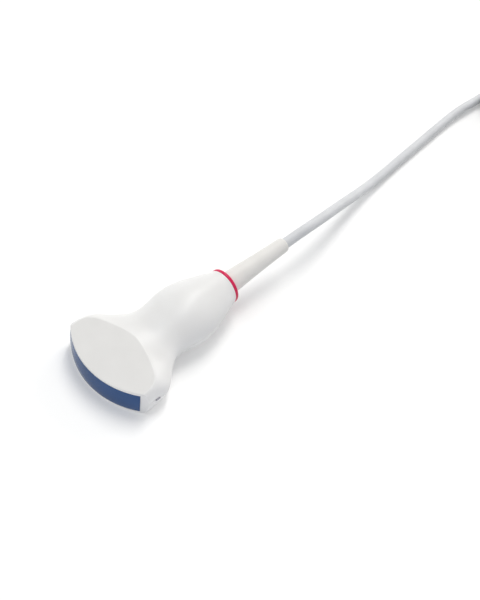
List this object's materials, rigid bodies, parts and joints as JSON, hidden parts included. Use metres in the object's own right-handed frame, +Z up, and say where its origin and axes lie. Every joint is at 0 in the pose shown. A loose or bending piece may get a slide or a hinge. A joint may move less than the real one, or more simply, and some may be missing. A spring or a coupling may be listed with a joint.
{
  "type": "ultrasound transducer probe",
  "caption": "Convex ultrasound transducer: curved lens in a flared white handle with flat facets, a red neck ring, a tapered strain relief and a cable to a locking connector.",
  "frame": {"origin": "on the table under the middle of the probe's box, without the cable", "axes": "+Y along the probe from the lens to the cable, +X to the side of the orientation mark, +Z up from the table that the lower facet rests on"},
  "size_m": [0.0752, 0.821, 0.044],
  "materials": {
    "housing": "satin white moulded plastic",
    "lens": "smooth slate-blue silicone",
    "marker": "dark grey inlay",
    "ring": "crimson moulded ring",
    "boot": "warm white elastomer",
    "cable": "light grey jacket",
    "strap": "woven hook-and-loop strap",
    "matching": "loaded epoxy",
    "ceramic": "diced ceramic",
    "absorber": "tungsten-loaded epoxy",
    "carrier": "moulded",
    "flex": "polyimide",
    "circuit_board": "solder mask",
    "socket": "moulded",
    "metal": "turned steel",
    "copper": "copper foil",
    "coax": "bundled fine wires",
    "connector_case": "fine-textured moulded plastic",
    "shroud": "satin die-cast",
    "insulator": "glass-filled black",
    "gold": "gold-plated",
    "lever": "grey moulded"
  },
  "bodies": {
    "transducer": {"upper_housing": "housing", "lower_housing": "housing", "acoustic_lens": "lens", "orientation_marker": "marker", "neck_ring": "ring", "strain_relief": "boot", "connector_boot": "boot", "cable": "cable", "cable_hank": "cable", "cable_tail": "cable", "hank_strap": "strap", "outer_matching_layer": "matching", "inner_matching_layer": "matching", "piezo_array": "ceramic", "backing_block": "absorber", "array_carrier": "carrier", "upper_flex": "flex", "lower_flex": "flex", "upper_board": "circuit_board", "lower_board": "circuit_board", "connector_board": "circuit_board", "flex_sockets": "socket", "board_standoffs": "metal", "crimp_ferrule": "metal", "cover_screws": "metal", "shield_sleeve": "copper", "coax_bundle": "coax", "connector_base": "connector_case", "connector_cover": "connector_case", "contact_shroud": "shroud", "contact_block": "insulator", "contact_strips": "gold"},
    "lock": {"lock_shaft": "metal", "lock_lever": "lever", "lever_screw": "metal"}
  },
  "joints": [
    {"name": "lock_turn", "type": "hinge", "parent": "transducer", "child": "lock", "pos_m": [-0.012, 0.7, 0.037], "axis": [0, 0, 1], "range_deg": [0, 90]}
  ]
}
